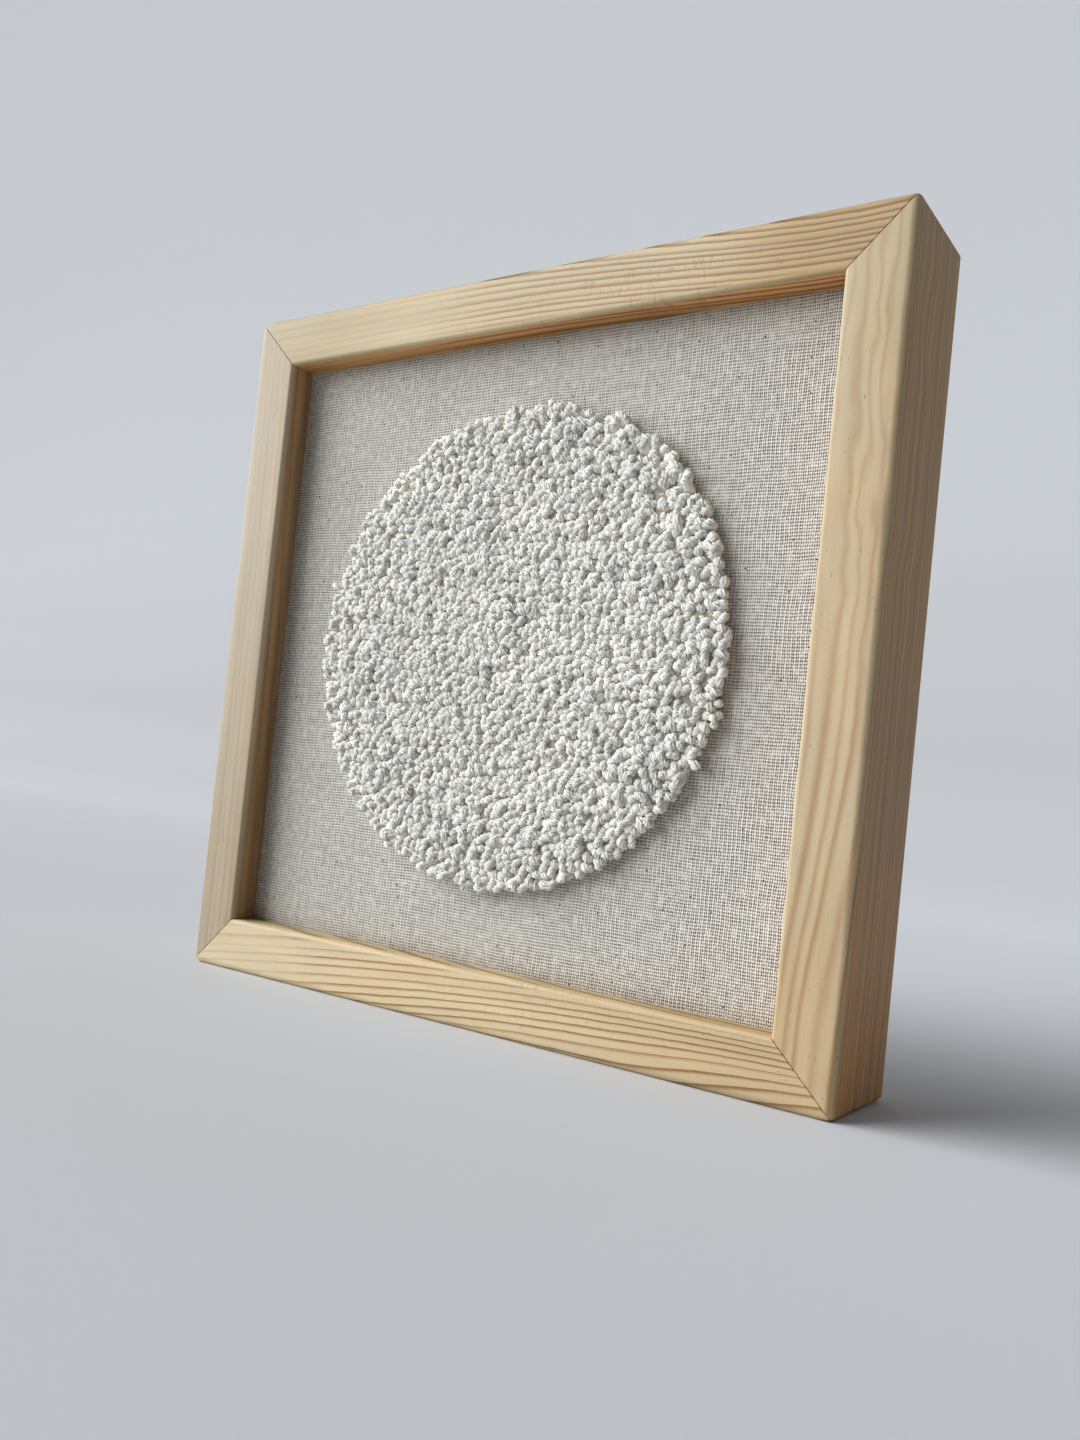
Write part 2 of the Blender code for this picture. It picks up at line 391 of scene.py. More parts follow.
    # resin canals: short dark dashes along the grain
    dash = g.noise(g.vec(g.math("MULTIPLY_ADD", s, 1 / 1.3, seed), g.math("MULTIPLY", u, 1 / 0.30), g.math("MULTIPLY", v, 1 / 0.30)), 1.0, 0.0)
    dash = g.step(dash, 0.755, 0.83)
    thin = g.step(g.noise(g.vec(g.math("MULTIPLY_ADD", s, 1 / 17, seed + 3), g.math("MULTIPLY", u, 1 / 7), g.math("MULTIPLY", v, 1 / 7)), 1.0, 1.0), 0.42, 0.62)
    dash = g.math("MULTIPLY", dash, thin)
    colour = g.mix(g.math("MULTIPLY", dash, 0.62), colour, lin(98, 70, 42))
    height = g.math("MULTIPLY_ADD", line, 0.6, g.math("MULTIPLY", fibre, 0.35))
    height = g.math("MULTIPLY_ADD", dash, -0.9, height)
    # faint marks of the planer across the grain
    if marks:
        low, high, share = marks
        ticks = g.noise(g.vec(g.math("MULTIPLY", s, 1 / 0.60), g.math("MULTIPLY_ADD", u, 1 / 3.4, seed), g.math("MULTIPLY", v, 1 / 5.0)), 1.0, 1.0)
        where = g.noise(g.vec(g.math("MULTIPLY_ADD", s, 1 / 18, seed + 7), g.math("MULTIPLY", u, 1 / 9), g.math("MULTIPLY", v, 1 / 20)), 1.0, 1.0)
        span = g.math("MULTIPLY", g.step(s, low - 8.0, low + 8.0), g.math("SUBTRACT", 1.0, g.step(s, high - 8.0, high + 8.0)))
        span = g.math("MULTIPLY", span, g.step(u, 2.0, 7.0))
        cut = g.math("MULTIPLY", g.step(ticks, 0.57, 0.68), g.math("MULTIPLY", g.step(where, 0.34, 0.52), g.math("MULTIPLY", span, share)))
        speck = g.noise(g.vec(g.math("MULTIPLY", s, 1 / 0.42), g.math("MULTIPLY_ADD", u, 1 / 0.34, seed), g.math("MULTIPLY", v, 1 / 0.34)), 1.0, 0.0)
        speck = g.math("MULTIPLY", g.step(speck, 0.76, 0.84), span)
        colour = g.mix(g.math("MULTIPLY", cut, 0.40), colour, lin(140, 108, 70))
        colour = g.mix(g.math("MULTIPLY", speck, 0.7), colour, lin(92, 66, 42))
        height = g.math("MULTIPLY_ADD", cut, -0.6, height)
    pores = g.noise(g.coords(), 5200.0, 1.0)
    normal = g.bump(height, 0.00004, 0.8)
    normal = g.bump(pores, 0.000012, 0.5, normal)
    rough = g.math("ADD", 0.52, g.math("MULTIPLY", g.math("SUBTRACT", fibre, line), 0.16))
    return g.shader(colour, rough, normal)


wood = {
    # fine lines along the rail at one end, which then slope to the outer edge and open out
    "rail_top": pine(
        "pine_top", (-44.0, -34.0), 7.0,
        ((-100, 8.2), (-85, 8.2), (-75, 8.1), (-65, 7.7), (-58, 7.0), (-50, 5.9), (-40, 4.8), (-30, 4.1), (-20, 3.5), (-10, 2.7), (0, 2.0), (15, 1.5), (40, 0.7), (70, 0.2), (100, 0.0)),
        ((-100, 1.5), (-50, 1.55), (0, 1.8), (60, 2.2), (100, 2.3)), 0.35,
        lin(199, 182, 147), lin(148, 114, 72), 1.25, soft=1.1, uneven=0.5, fade=((0.0, 40.0, 0.20),), marks=(-58.0, 0.0, 1.0),
        ends=((-46.0, -78.0, (0.83, 0.73, 0.58)), (30.0, 90.0, (0.87, 0.87, 0.86))), reach_side=0.1, inner=(0.97, 0.62, 0.33), side_light_ends=((-25.0, -75.0, (1.26, 1.36, 1.52)),), seed=1.3),
    # thin even lines that rise from the outer edge and crowd together at the other end
    "rail_bottom": pine(
        "pine_bottom", (-60.0, 30.0), 9.0,
        ((-100, -1.5), (-80, 1.2), (-60, 3.8), (-50, 5.1), (-40, 6.4), (-30, 7.7), (-20, 9.0), (-10, 9.9), (0, 10.8), (10, 11.7), (20, 12.3), (30, 12.8), (40, 13.5), (50, 14.1), (60, 14.2), (85, 14.3), (100, 14.3)),
        ((-90, 2.6), (-50, 2.4), (-20, 2.2), (0, 2.0), (20, 1.7), (50, 1.35), (85, 1.1)), 0.30,
        lin(209, 190, 153), lin(150, 114, 72), 1.05, soft=3.0, uneven=0.25, fade=((-40.0, -70.0, 0.28),), skew=(-10.0, 60.0, 0.026), marks=(-15.0, 60.0, 0.35),
        ends=((-35.0, -75.0, (1.02, 1.05, 1.10)), (15.0, 80.0, (0.87, 0.81, 0.745))), inner=(0.97, 0.93, 0.85), seed=4.1),
    # cut close to the rings: broad soft bands that wander on the front, fine ones at the side
    "rail_right": pine(
        "pine_right", (-15.0, 50.0), 7.0,
        ((-100, 13.6), (-85, 13.3), (-75, 12.9), (-65, 12.3), (-55, 11.4), (-48, 10.2), (-40, 9.1), (-30, 8.4), (-20, 7.8), (-10, 7.3), (0, 7.3), (20, 7.4), (40, 8.0), (60, 8.2), (90, 7.5), (100, 7.2)),
        ((-100, 3.5), (0, 3.8), (100, 3.7)), 1.0,
        lin(194, 174, 139), lin(156, 117, 75), 0.82, soft=0.75, end=0.60, curl=3.4, fade=((-25.0, 15.0, 0.62),),
        # painted light: the lower stretch of the outer side is lifted, where bounce light from below falls
        ends=((30.0, 80.0, (0.94, 0.96, 0.98)), (-30.0, -80.0, (1.0, 0.94, 0.89))), sides=(0.75, 0.565, 0.29), side_line=1.1, side_light_ends=((-15.0, -85.0, (1.28, 1.22, 1.06)),), seed=7.7),
    "rail_left": pine(
        "pine_left", (52.0, 26.0), 7.0, ((-100, 5.0), (0, 7.0), (100, 8.0)), ((-100, 2.3), (100, 2.6)), 0.9,
        lin(183, 170, 147), lin(164, 138, 102), 0.5, soft=1.3, ends=((-50.0, 75.0, (0.86, 0.82, 0.765)),),
        sides=(0.90, 0.76, 0.62), inner=(0.84, 0.64, 0.42), seed=2.9),
}


def arc(cu, cv, radius, start_deg, end_deg, steps):
    return [
        (cu + radius * math.cos(math.radians(start_deg + (end_deg - start_deg) * i / steps)), cv + radius * math.sin(math.radians(start_deg + (end_deg - start_deg) * i / steps)))
        for i in range(steps + 1)
    ]


def spaced(points, step):
    """The closed section with its long straight runs cut into short ones."""
    out = []
    for (ua, va), (ub, vb) in zip(points, points[1:] + points[:1]):
        n = max(1, round(math.hypot(ub - ua, vb - va) / step))
        out += [(ua + (ub - ua) * i / n, va + (vb - va) * i / n) for i in range(n)]
    return out


def rail(node, turn_deg, seed):
    """A rail on its CAD section and place, finer, with arrises and faces a little uneven.
    Its ends all but touch at the mitres, with the front edge broken to a fine groove."""
    shoulder, wall = RECESS - GAP, FACE - REBATE
    section = arc(R_FRONT, R_FRONT, R_FRONT, 180, 270, 10) + arc(FACE - R_INNER, R_INNER, R_INNER, 270, 360, 7)
    section += [(FACE, shoulder), (wall, shoulder), (wall, DEPTH - BREAK), (wall - BREAK, DEPTH)]
    section += arc(R_BACK, DEPTH - R_BACK, R_BACK, 90, 180, 7)
    section = np.array(spaced(section, 0.0024))
    u, v = section[:, 0], section[:, 1]
    near = np.clip(1 - u / (3 * R_CORNER), 0, None)
    drop_end = R_CORNER * (1 - math.cos(math.radians(45))) * near
    slit = 0.00005
    x_end = SIDE / 2 - slit - (u + drop_end)
    # the groove at the mitre: the last ring steps back a little along the front
    turn = [math.radians(45) * i / 7 for i in range(8)]
    xs, drops = [], []
    for a in turn:
        xs.append(x_end - R_CORNER * (math.sin(turn[-1]) - math.sin(a)))
        drops.append(R_CORNER * (1 - math.cos(a)) * near)
    body = 84
    x0 = xs[0]
    rings = [(-xs[i], drops[i], 1.0) for i in range(7, -1, -1)]
    rings += [(-x0 + 2 * x0 * i / body, drops[0], 1.0) for i in range(1, body)]
    rings += [(xs[i], drops[i], 1.0) for i in range(8)]
    X = np.array([r[0] for r in rings])
    U = np.array([u + r[1] for r in rings])
    V = np.broadcast_to(v, X.shape).copy()
    # wear: arrises that wander, faces planed a few hundredths of a millimetre uneven
    k = 1 / 0.001
    edge = np.exp(-((np.hypot(u - 0.0006, v - 0.0006) / 0.0011) ** 2)) + 0.7 * np.exp(-((np.hypot(u - FACE + 0.0003, v - 0.0003) / 0.0008) ** 2))
    ripple = 0.5 + 0.5 * np.sin(X * k * 0.23 + seed) * np.sin(X * k * 0.071 + 2 * seed) + 0.35 * np.sin(X * k * 0.61 + 3 * seed)
    wear = edge[None, :] * np.clip(ripple, 0, None) * 0.00011
    inward_u = np.where(u < FACE / 2, 1.0, -1.0)
    U = U + wear * inward_u * 0.7
    V = V + wear * 0.7
    for at, depth, wide, corner in DENTS.get(node, ()):
        cu, cv = ((0.0003, 0.0003), (FACE - 0.0002, 0.0002))[corner]
        press = depth * np.exp(-(((X - at) / wide) ** 2)) * np.exp(-((np.hypot(u - cu, v - cv) / (wide * 1.2)) ** 2))[None, :]
        U = U + press * inward_u * 0.7
        V = V + press * 0.7
    # break the front edge of each mitre
    break_ = np.exp(-((v / 0.00035) ** 2)) * (u > 0.0002)
    for end, sign in ((0, 1), (-1, -1)):
        V[end] += 0.00010 * break_
        X[end] += sign * 0.00003
    verts = np.stack([X, FRONT_Y + V, U - SIDE / 2], -1).reshape(-1, 3)
    n, m = len(rings), len(u)
    i, j = np.meshgrid(np.arange(n - 1), np.arange(m), indexing="ij")
    jj = (j + 1) % m
    quads = np.stack([i * m + j, i * m + jj, (i + 1) * m + jj, (i + 1) * m + j], -1).reshape(-1, 4)
    caps = np.array([list(range(m))[::-1], [(n - 1) * m + q for q in range(m)]])
    ob = make_mesh(node + "_wood", verts, [quads, caps], wood[node], sharp=32)
    # outward faces
    me = ob.data
    me.update()
    if me.polygons[10].normal.dot(me.polygons[10].center - Vector((0, 0, -SIDE / 2 + FACE / 2))) < 0:
        me.flip_normals()
    ob.location = (0, 0, CENTRE_Z)
    ob.rotation_euler = (0, math.radians(turn_deg), 0)
    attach(ob, "root")
    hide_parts(node)
    return ob


# small knocks on the arrises: along the rail, depth, width, and 0 outer or 1 inner arris
DENTS = {
    "rail_bottom": ((0.031, 0.00022, 0.0012, 0), (-0.052, 0.00016, 0.0010, 0), (0.058, 0.00010, 0.0009, 1)),
    "rail_top": ((0.012, 0.00018, 0.0011, 1), (-0.044, 0.00012, 0.0009, 0)),
    "rail_right": ((0.047, 0.00012, 0.0010, 0), (-0.021, 0.00014, 0.0012, 0)),
    "rail_left": ((-0.033, 0.00014, 0.0011, 0),),
}
rails = [rail(*row) for row in (("rail_bottom", 0, 0.4), ("rail_left", 90, 1.9), ("rail_top", 180, 3.1), ("rail_right", 270, 4.6))]


# ------------------------------------------------------------------------------------ cloth
def pucker(x, z):
    """As in the CAD: soft radial waves between the pile and the frame."""
    r = np.hypot(x, z)
    edge = np.maximum(np.abs(x), np.abs(z))
    rise = smooth((r - PILE_R - 0.001) / 0.006)
    fall = smooth((SIDE / 2 - FACE - 0.002 - edge) / 0.014)
    a = np.arctan2(z, x)
    waves = sum(share * np.sin(turns * a + phase) for turns, share, phase in PUCKER_WAVES)
    return PUCKER * rise * fall * waves


def weave_material():
    """Unbleached plain weave: 18 warp ends and 13 picks to the centimetre, in object
    coordinates, with thick and thin places, holes at the crossings and dark flecks."""
    g = Nodes("cotton_plain_weave")
    place = g.coords()
    x, y, z = g.axes(place)
    slow = g.noise(place, 55.0, 2.0)
    slow2 = g.noise(g.vec(z, y, x), 47.0, 2.0)
    fine = g.noise(place, 420.0, 2.0)
    fine2 = g.noise(g.vec(z, x, y), 380.0, 2.0)
    xw = g.math("ADD", g.math("MULTIPLY_ADD", x, 1 / 0.000541, 0.25), g.math("ADD", g.centred(slow, 1.2), g.centred(fine, 0.27)))
    zw = g.math("ADD", g.math("MULTIPLY", z, 1 / 0.000785), g.math("ADD", g.centred(slow2, 1.0), g.centred(fine2, 0.20)))
    # reed marks: the warp lies in pairs
    turn = g.math("MULTIPLY_ADD", xw, math.pi, g.math("MULTIPLY", slow, 9.0))
    pair = g.math("COSINE", turn)
    xw = g.math("MULTIPLY_ADD", g.math("SINE", turn), 0.09, xw)
    sx = g.math("SINE", g.math("MULTIPLY", xw, math.pi))
    sz = g.math("SINE", g.math("MULTIPLY", zw, math.pi))
    ax, az = g.math("ABSOLUTE", sx), g.math("ABSOLUTE", sz)
    over = g.math("MULTIPLY", sx, sz)
    # each thread has its own thickness, changing slowly along it
    warp_id, weft_id = g.math("FLOOR", xw), g.math("FLOOR", zw)
    warp_fat = g.noise(g.vec(g.math("MULTIPLY", warp_id, 7.31), 0.0, g.math("MULTIPLY", z, 60.0)), 1.0, 2.0)
    weft_fat = g.noise(g.vec(g.math("MULTIPLY", x, 60.0), 3.0, g.math("MULTIPLY", weft_id, 5.17)), 1.0, 2.0)
    warp_h = g.math("ADD", g.math("MULTIPLY", g.math("POWER", ax, 0.7), 0.56), g.math("MULTIPLY", over, 0.36))
    weft_h = g.math("SUBTRACT", g.math("MULTIPLY", g.math("POWER", az, 0.65), 0.74), g.math("MULTIPLY", over, 0.32))
    warp_h = g.math("MULTIPLY", warp_h, g.math("MULTIPLY_ADD", warp_fat, 0.9, 0.52))
    weft_h = g.math("MULTIPLY", weft_h, g.math("MULTIPLY_ADD", weft_fat, 0.9, 0.56))
    n = g.add("ShaderNodeMath", operation="SMOOTH_MAX")
    g.put(n.inputs[0], warp_h)
    g.put(n.inputs[1], weft_h)
    n.inputs[2].default_value = 0.10
    height = n.outputs[0]
    # holes where both threads leave a gap, more open in some places
    open_ = g.noise(g.vec(g.math("MULTIPLY", x, 620.0), 1.0, g.math("MULTIPLY", z, 460.0)), 1.0, 1.0)
    hole = g.math("MULTIPLY", g.math("POWER", g.math("SUBTRACT", 1.0, ax), 1.6), g.math("POWER", g.math("SUBTRACT", 1.0, az), 0.95))
    hole = g.math("MULTIPLY", hole, g.math("MULTIPLY_ADD", pair, 0.62, 0.95))
    hole = g.math("MULTIPLY", hole, g.math("MULTIPLY_ADD", open_, 10.0, -2.9), clamp=True)
    thread = g.math("MULTIPLY_ADD", g.math("SUBTRACT", warp_fat, weft_fat), 0.26, 0.99)
    # painted shade: the weave's low places are darker and its crests lighter, as the threads shade each other; thread
    # gives each thread its own tone
    shade = g.math("MULTIPLY", g.math("MULTIPLY_ADD", g.step(height, 0.05, 0.95), 0.48, 0.72), thread)
    # warmer and cooler areas
    tint = g.noise(place, 14.0, 2.0)
    cloth = g.mix(g.step(tint, 0.35, 0.65), (0.672, 0.656, 0.608), (0.662, 0.634, 0.580))
    cloth = g.scaled(cloth, shade)
    # painted shade: the holes are coloured dark, as the shaded space behind the cloth shows through them
    cloth = g.mix(g.math("MULTIPLY", hole, 0.97), cloth, lin(60, 51, 41))
    # painted shade: darker and warmer close to the frame, where the rails shade the corners of the recess
    border = g.math("MAXIMUM", g.math("ABSOLUTE", x), g.math("ABSOLUTE", g.math("SUBTRACT", z, CENTRE_Z)))
    cloth = g.mix(g.step(border, SIDE / 2 - FACE - 0.0045, SIDE / 2 - FACE + 0.0005), cloth, g.mix(1.0, cloth, (0.80, 0.75, 0.69), "MULTIPLY"))
    # flecks of seed husk
    def flecks(scale, size, share, seed):
        vn = g.add("ShaderNodeTexVoronoi", feature="F1", voronoi_dimensions="2D")
        g.put(vn.inputs["Vector"], g.vec(g.math("ADD", x, seed), g.math("MULTIPLY", z, 1.15), 0.0))
        vn.inputs["Scale"].default_value = scale
        r, gr, b = g.axes(vn.outputs["Color"])
        near = g.math("SUBTRACT", 1.0, g.step(vn.outputs["Distance"], size * 0.45, size))
        return g.math("MULTIPLY", near, g.math("GREATER_THAN", r, 1 - share)), gr
    big, _ = flecks(170.0, 0.062, 0.20, 0.0)
    small, lum = flecks(420.0, 0.100, 0.11, 0.37)
    cloth = g.mix(g.math("MULTIPLY", small, g.math("MULTIPLY_ADD", lum, 0.6, 0.2)), cloth, lin(104, 80, 56))
    cloth = g.mix(g.math("MULTIPLY", big, 0.95), cloth, lin(48, 38, 32))
    fibre = g.noise(g.vec(g.math("MULTIPLY", x, 1.0), y, g.math("MULTIPLY", z, 1.0)), 9000.0, 2.0)
    relief = g.math("SUBTRACT", height, g.math("MULTIPLY", hole, 0.7))
    normal = g.bump(relief, 0.00033, 0.9)
    normal = g.bump(fibre, 0.00003, 0.4, normal)
    return g.shader(cloth, 0.92, normal, Sheen_Weight=0.15, Sheen_Roughness=0.5)


def ground_cloth():
    """The stretched cloth, half a millimetre thick, with a slightly uneven cut edge."""
    half = SIDE / 2 - (FACE - REBATE) - CLOTH_EDGE
    n = 64
    t = np.linspace(-1, 1, n + 1)
    gx, gz = np.meshgrid(t * half, t * half, indexing="xy")
    ragged = 0.00022 * (np.sin(gx * 1900 + 1) * np.sin(gz * 1740) + 0.6 * np.sin(gx * 610 + gz * 540))
    border = smooth((np.maximum(np.abs(gx), np.abs(gz)) - half + 0.003) / 0.003)
    gx2 = gx * (1 - np.abs(ragged) / half * border)
    gz2 = gz * (1 - np.abs(ragged) / half * border)
    small = 0.00007 * wobble(gx, gz, 0.021, 3.0) * smooth((half - 0.006 - np.maximum(np.abs(gx), np.abs(gz))) / 0.01)
    y = CLOTH_Y - pucker(gx, gz) - small
    front = np.stack([gx2, y, CENTRE_Z + gz2], -1).reshape(-1, 3)
    back = np.stack([gx2, y + CLOTH_T, CENTRE_Z + gz2], -1).reshape(-1, 3)
    verts = np.concatenate([front, back])
    m = n + 1
    i, j = np.meshgrid(np.arange(n), np.arange(n), indexing="ij")
    a, b, c, d = i * m + j, i * m + j + 1, (i + 1) * m + j + 1, (i + 1) * m + j
    f = np.stack([a, b, c, d], -1).reshape(-1, 4)
    r = np.stack([a, d, c, b], -1).reshape(-1, 4) + m * m
    ring = [k for k in range(n)] + [k * m + n for k in range(n)] + [n * m + k for k in range(n, 0, -1)] + [k * m for k in range(n, 0, -1)]
    ring = np.array(ring)
    nxt = np.roll(ring, -1)
    rim = np.stack([ring, ring + m * m, nxt + m * m, nxt], -1)
    ob = make_mesh("cloth", verts, [f, r, rim], weave_material(), sharp=50)
    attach(ob, "root")
    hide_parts("ground_cloth")
    return ob


cloth = ground_cloth()


# ------------------------------------------------------------------------------------- pile
ROW = 0.00176           # one row of stitches to the next
ALONG = 0.00216         # one loop to the next along a row
FIRST_R = 0.0626        # the outermost row of stitches
FULL_ROWS = 2.8         # rows at the rim whose legs show
PLIES, SIDES = 6, 12
LAY = 0.0034            # length of one full twist of the yarn where it bends
RIM_LAY = 0.0042        # and where it lies straighter
CUT = 0.0025            # where the hidden legs of inner loops end, above the cloth


def yarn_material(name, plies=PLIES, facing=-0.34):
    """Soft cotton yarn: the plies are modelled, the fibres in them are a fine bump that
    follows the plies, and each loop has its own slight tone. The fuzz lets the light
    round each loop: facing bends the shading that much towards the open side."""
    g = Nodes(name)
    uv = g.add("ShaderNodeUVMap", uv_map="yarn").outputs[0]
    u, v, _ = g.axes(uv)
    tone = g.add("ShaderNodeAttribute", attribute_name="tone").outputs["Fac"]
    # 1 in the groove between two plies, 0 on a ply's crest
    groove = g.math("MULTIPLY", g.math("ABSOLUTE", g.math("SUBTRACT", g.math("FRACT", g.math("MULTIPLY", u, float(plies))), 0.5)), 2.0)
    along = g.vec(g.math("MULTIPLY_ADD", u, 46.0, g.math("MULTIPLY", v, 1300.0)), g.math("MULTIPLY", v, 380.0), g.math("MULTIPLY", tone, 37.0))
    strands = g.noise(along, 1.0, 2.0)
    fuzz = g.noise(g.coords(), 3300.0, 3.0, 0.6)
    colour = g.mix(tone, (0.885, 0.882, 0.838), (0.925, 0.931, 0.896))
    blotch = g.noise(g.coords(), 95.0, 2.0)
    shade = g.math("ADD", g.math("MULTIPLY_ADD", strands, 0.17, 0.915), g.centred(blotch, 0.035))
    colour = g.scaled(colour, shade)
    # painted shade: darker, warmer colour in the grooves between the plies, where they shade each other
    groove_shade = g.math("MULTIPLY", g.step(groove, 0.55, 1.0), 0.75)
    colour = g.mix(groove_shade, colour, g.mix(1.0, colour, (0.80, 0.745, 0.66), "MULTIPLY"))
    # painted light and shade: the tops of the loops are tinted darker and the yarn below them lighter and warmer,
    # which softens the light's contrast over the pile
    x, y, z = g.axes(g.coords())
    dz = g.math("SUBTRACT", z, CENTRE_Z)
    far = g.math("SQRT", g.math("ADD", g.math("MULTIPLY", x, x), g.math("MULTIPLY", dz, dz)))
    level = g.math("MULTIPLY_ADD", g.step(far, 0.048, 0.063), -0.0005, y)
    painted_light_below_tops = g.step(level, CLOTH_Y - 0.0052, CLOTH_Y - 0.0030)
    colour = g.mix(1.0, colour, g.mix(painted_light_below_tops, (0.890, 0.902, 0.903), (1.17, 1.145, 1.09)), "MULTIPLY")
    bent = g.add("ShaderNodeVectorMath", operation="MULTIPLY_ADD")
    g.put(bent.inputs[0], g.add("ShaderNodeNewGeometry").outputs["Normal"])
    bent.inputs[1].default_value = (1 - abs(facing),) * 3
    bent.inputs[2].default_value = (0.0, facing, 0.0)
    unit = g.add("ShaderNodeVectorMath", operation="NORMALIZE")
    g.put(unit.inputs[0], bent.outputs[0])
    normal = g.bump(strands, 0.00010, 0.7, unit.outputs[0])
    normal = g.bump(fuzz, 0.00005, 0.5, normal)
    return g.shader(colour, 0.95, normal, Sheen_Weight=0.30, Sheen_Roughness=0.6)


def spiral():
    """The stitches, from the rim inward: place, row direction and row number."""
    pts, r, a = [], FIRST_R, 0.4
    while r > 0.0009:
        pts.append((r, a))
        da = ALONG * (1 + 0.09 * rng.standard_normal()) / max(r, 0.0016)
        a += da
        r -= ROW * da / (2 * math.pi)
    p = np.array(pts)
    return p[:, 0], p[:, 1]


def settled(x, z, apart, turns, limit):
    """The points pushed off each other until they are about evenly spread."""
    p = np.stack([x, z], -1).astype(np.float32)
    for _ in range(turns):
        d = p[:, None, :] - p[None, :, :]
        dist = np.sqrt((d * d).sum(-1)) + 1e-9
        push = np.clip(1 - dist / apart, 0, None)
        np.fill_diagonal(push, 0)
        p = p + 0.30 * apart * (d / dist[..., None] * push[..., None]).sum(1)
        r = np.hypot(p[:, 0], p[:, 1])
        p *= np.minimum(1, limit / np.maximum(r, 1e-6))[:, None]
    return p[:, 0].astype(float), p[:, 1].astype(float)


def clusters(spacing):
    """Jittered points about spacing apart, over the disc."""
    out = []
    n = int(0.07 / spacing) + 2
    for i in range(-n, n + 1):
        for j in range(-n, n + 1):
            x = (i + 0.5 * (j % 2)) * spacing + rng.uniform(-0.36, 0.36) * spacing
            z = j * spacing * 0.87 + rng.uniform(-0.36, 0.36) * spacing
            if math.hypot(x, z) < 0.068:
                out.append((x, z))
    return np.array(out)


def tubes(name, C, side, rad, material, tone, lay=LAY, plies=PLIES, sides=SIDES, groove=0.72, flat=1.0, twist0=None, hand=1.0):
    """Twisted yarn along each centreline. C is (yarns, rings, 3), side (yarns, 3) a vector
    across each, rad (yarns, rings). The mesh lines run along the plies."""
    L, R, _ = C.shape
    T = np.gradient(C, axis=1)
    T /= np.linalg.norm(T, axis=-1, keepdims=True)
    B = np.broadcast_to(side[:, None, :], C.shape)
    N1 = B - (B * T).sum(-1, keepdims=True) * T
    N1 /= np.linalg.norm(N1, axis=-1, keepdims=True)
    N2 = np.cross(T, N1)
    step = np.linalg.norm(np.diff(C, axis=1), axis=-1)
    length = np.concatenate([np.zeros((L, 1)), np.cumsum(step, 1)], 1)
    per = sides // plies
    crest = {3: np.array([groove, 1.03, 1.03]), 2: np.array([groove, 1.06]), 1: np.array([1.0])}[per]
    profile = np.tile(crest, plies)
    k = np.arange(sides)
    start = np.zeros(L) if twist0 is None else twist0
    theta = 2 * math.pi * k[None, None, :] / sides + hand * 2 * math.pi * length[:, :, None] / lay + start[:, None, None]
    rr = rad[:, :, None] * profile[None, None, :]
    V = C[:, :, None, :] + rr[..., None] * (np.cos(theta)[..., None] * N1[:, :, None, :] + flat * np.sin(theta)[..., None] * N2[:, :, None, :])
    base = (np.arange(L) * R * sides)[:, None, None]
    j = np.arange(R - 1)[None, :, None]
    kk = np.arange(sides)[None, None, :]
    k1 = (kk + 1) % sides
    q = np.stack(np.broadcast_arrays(base + j * sides + kk, base + j * sides + k1, base + (j + 1) * sides + k1, base + (j + 1) * sides + kk), -1).reshape(-1, 4)
    lo = np.broadcast_to(length[:, :-1, None], (L, R - 1, sides))
    hi = np.broadcast_to(length[:, 1:, None], (L, R - 1, sides))
    ku = np.broadcast_to(kk / sides, lo.shape)
    kv = ku + 1 / sides
    quv = np.stack([np.stack([ku, lo], -1), np.stack([kv, lo], -1), np.stack([kv, hi], -1), np.stack([ku, hi], -1)], -2).reshape(-1, 4, 2)
    b0 = (np.arange(L) * R * sides)[:, None]
    first = b0 + np.arange(sides)[None, ::-1]
    last = b0 + (R - 1) * sides + np.arange(sides)[None, :]
    caps = np.concatenate([first, last])
    cuv = np.zeros((*caps.shape, 2))
    ob = make_mesh(name, V, [q, caps], material, uv=[quv, cuv], tone=np.repeat(tone, R * sides))
    if per == 2:
        # a crease along each groove
        me = ob.data
        ends = np.empty(len(me.edges) * 2, np.int32)
        me.edges.foreach_get("vertices", ends)
        ends = ends.reshape(-1, 2) % sides
        me.attributes.new("sharp_edge", "BOOLEAN", "EDGE").data.foreach_set("value", (ends[:, 0] == ends[:, 1]) & (ends[:, 0] % 2 == 0))
    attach(ob, "root")
    return ob


def resampled(path, rings):
    """Each dense path (n, m, k) cut into equal steps."""
    step = np.linalg.norm(np.diff(path, axis=1), axis=-1)
    s = np.concatenate([np.zeros((len(path), 1)), np.cumsum(step, 1)], 1)
    out = np.empty((len(path), rings, path.shape[2]))
    for i in range(len(path)):
        at = np.linspace(0, s[i, -1], rings)
        for c in range(path.shape[2]):
            out[i, :, c] = np.interp(at, s[i], path[i, :, c])
    return out


